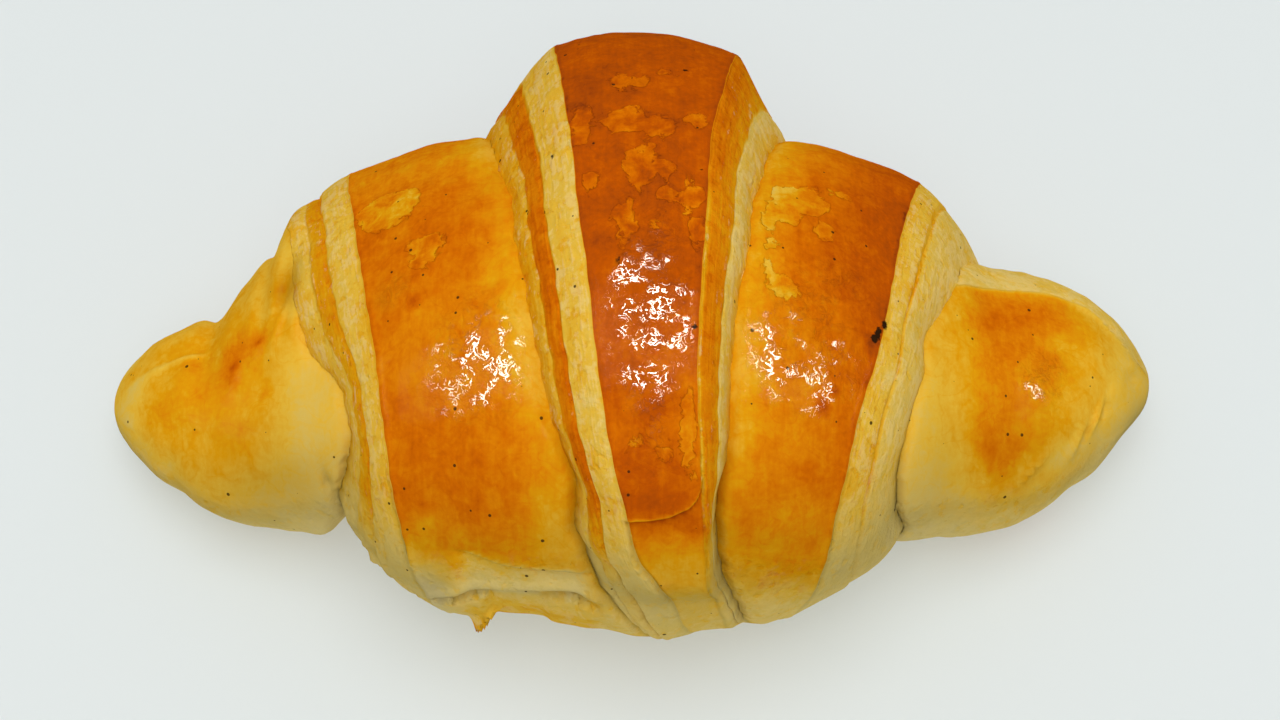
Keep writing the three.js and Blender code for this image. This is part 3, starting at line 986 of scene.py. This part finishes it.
# Lamps, in metres and watts: name, place, size and power. The softboxes light the roll, and the glints
# only show in its gloss.
SOFTBOXES = (
    ("top_softbox", (0.0, -0.10, 1.2), 0.9, 4.6), ("front_softbox", (0.0, -0.65, 1.1), 0.8, 3.6))
GLINTS = (
    ("middle_glint", (0.0, -0.06, 0.9), 0.62, 58.0),
    ("left_glint", (-0.48, -0.06, 0.8), 0.42, 23.0), ("right_glint", (0.48, -0.06, 0.8), 0.42, 23.0),
    ("far_left_glint", (-0.82, -0.11, 0.6), 0.36, 9.0), ("far_right_glint", (0.82, -0.11, 0.6), 0.36, 9.0))
SOFT_WHITE = (1.0, 0.99, 0.97)
WARM = (1.0, 0.92, 0.76)


def pale_table():
    bpy.ops.object.select_all(action="DESELECT")
    bpy.ops.mesh.primitive_plane_add(size=3, location=(0, 0, 0))
    table = bpy.context.object
    table.name = "pale_table"
    finish = Finish("pale_table", bpy.data.materials)
    finish.shade({"Base Color": (*colour(182, 187, 187), 1), "Roughness": 0.6, "Specular IOR Level": 0.0,
                  "Emission Color": (*colour(226, 231, 230), 1), "Emission Strength": 0.38})
    table.data.materials.append(finish.material)


def lamp(name, spot, size, power, lights):
    """A round lamp aimed at the roll, which lights it or else only shows in its gloss."""
    bpy.ops.object.light_add(type="AREA", location=spot)
    made = bpy.context.object
    made.name = name
    made.data.shape = "DISK"
    made.data.size = size
    made.data.energy = power
    made.data.color = SOFT_WHITE if lights else WARM
    made.rotation_euler = (-Vector(spot)).to_track_quat("-Z", "Y").to_euler()
    made.visible_diffuse, made.visible_glossy = lights, not lights


def studio():
    """A soft room that is brighter from above, and the lamps."""
    room = Finish("soft_room", bpy.data.worlds)
    towards = room.node("ShaderNodeTexCoord", output="Generated")
    upwards = room.node("ShaderNodeSeparateXYZ", {}, {0: towards}, output="Z")
    room.shade({"Color": (0.97, 0.99, 1.0, 1), "Strength": upwards.clipped(-0.8, 1.0) * 0.72},
               "ShaderNodeBackground", "ShaderNodeOutputWorld")
    room.material.cycles_visibility.glossy = False
    scene = bpy.context.scene
    scene.world = room.material
    scene.view_settings.view_transform = "Standard"
    scene.view_settings.look = "None"
    for softbox in SOFTBOXES:
        lamp(*softbox, True)
    for glint in GLINTS:
        lamp(*glint, False)


def camera():
    """Looks down at the roll from the front."""
    elevation = radians(58)
    distance = 0.340
    aim = (0.0011 + shift[0] * MM, shift[1] * MM, 0.022 + shift[2] * MM)
    bpy.ops.object.camera_add(
        location=(aim[0], aim[1] - distance * cos(elevation), aim[2] + distance * sin(elevation)),
        rotation=Euler((pi / 2 - elevation, 0, 0)))
    view = bpy.context.object
    view.name = "camera"
    view.data.sensor_width = 36
    view.data.lens = 73.1
    view.data.clip_start = 0.01
    bpy.context.scene.camera = view


pale_table()
studio()
camera()
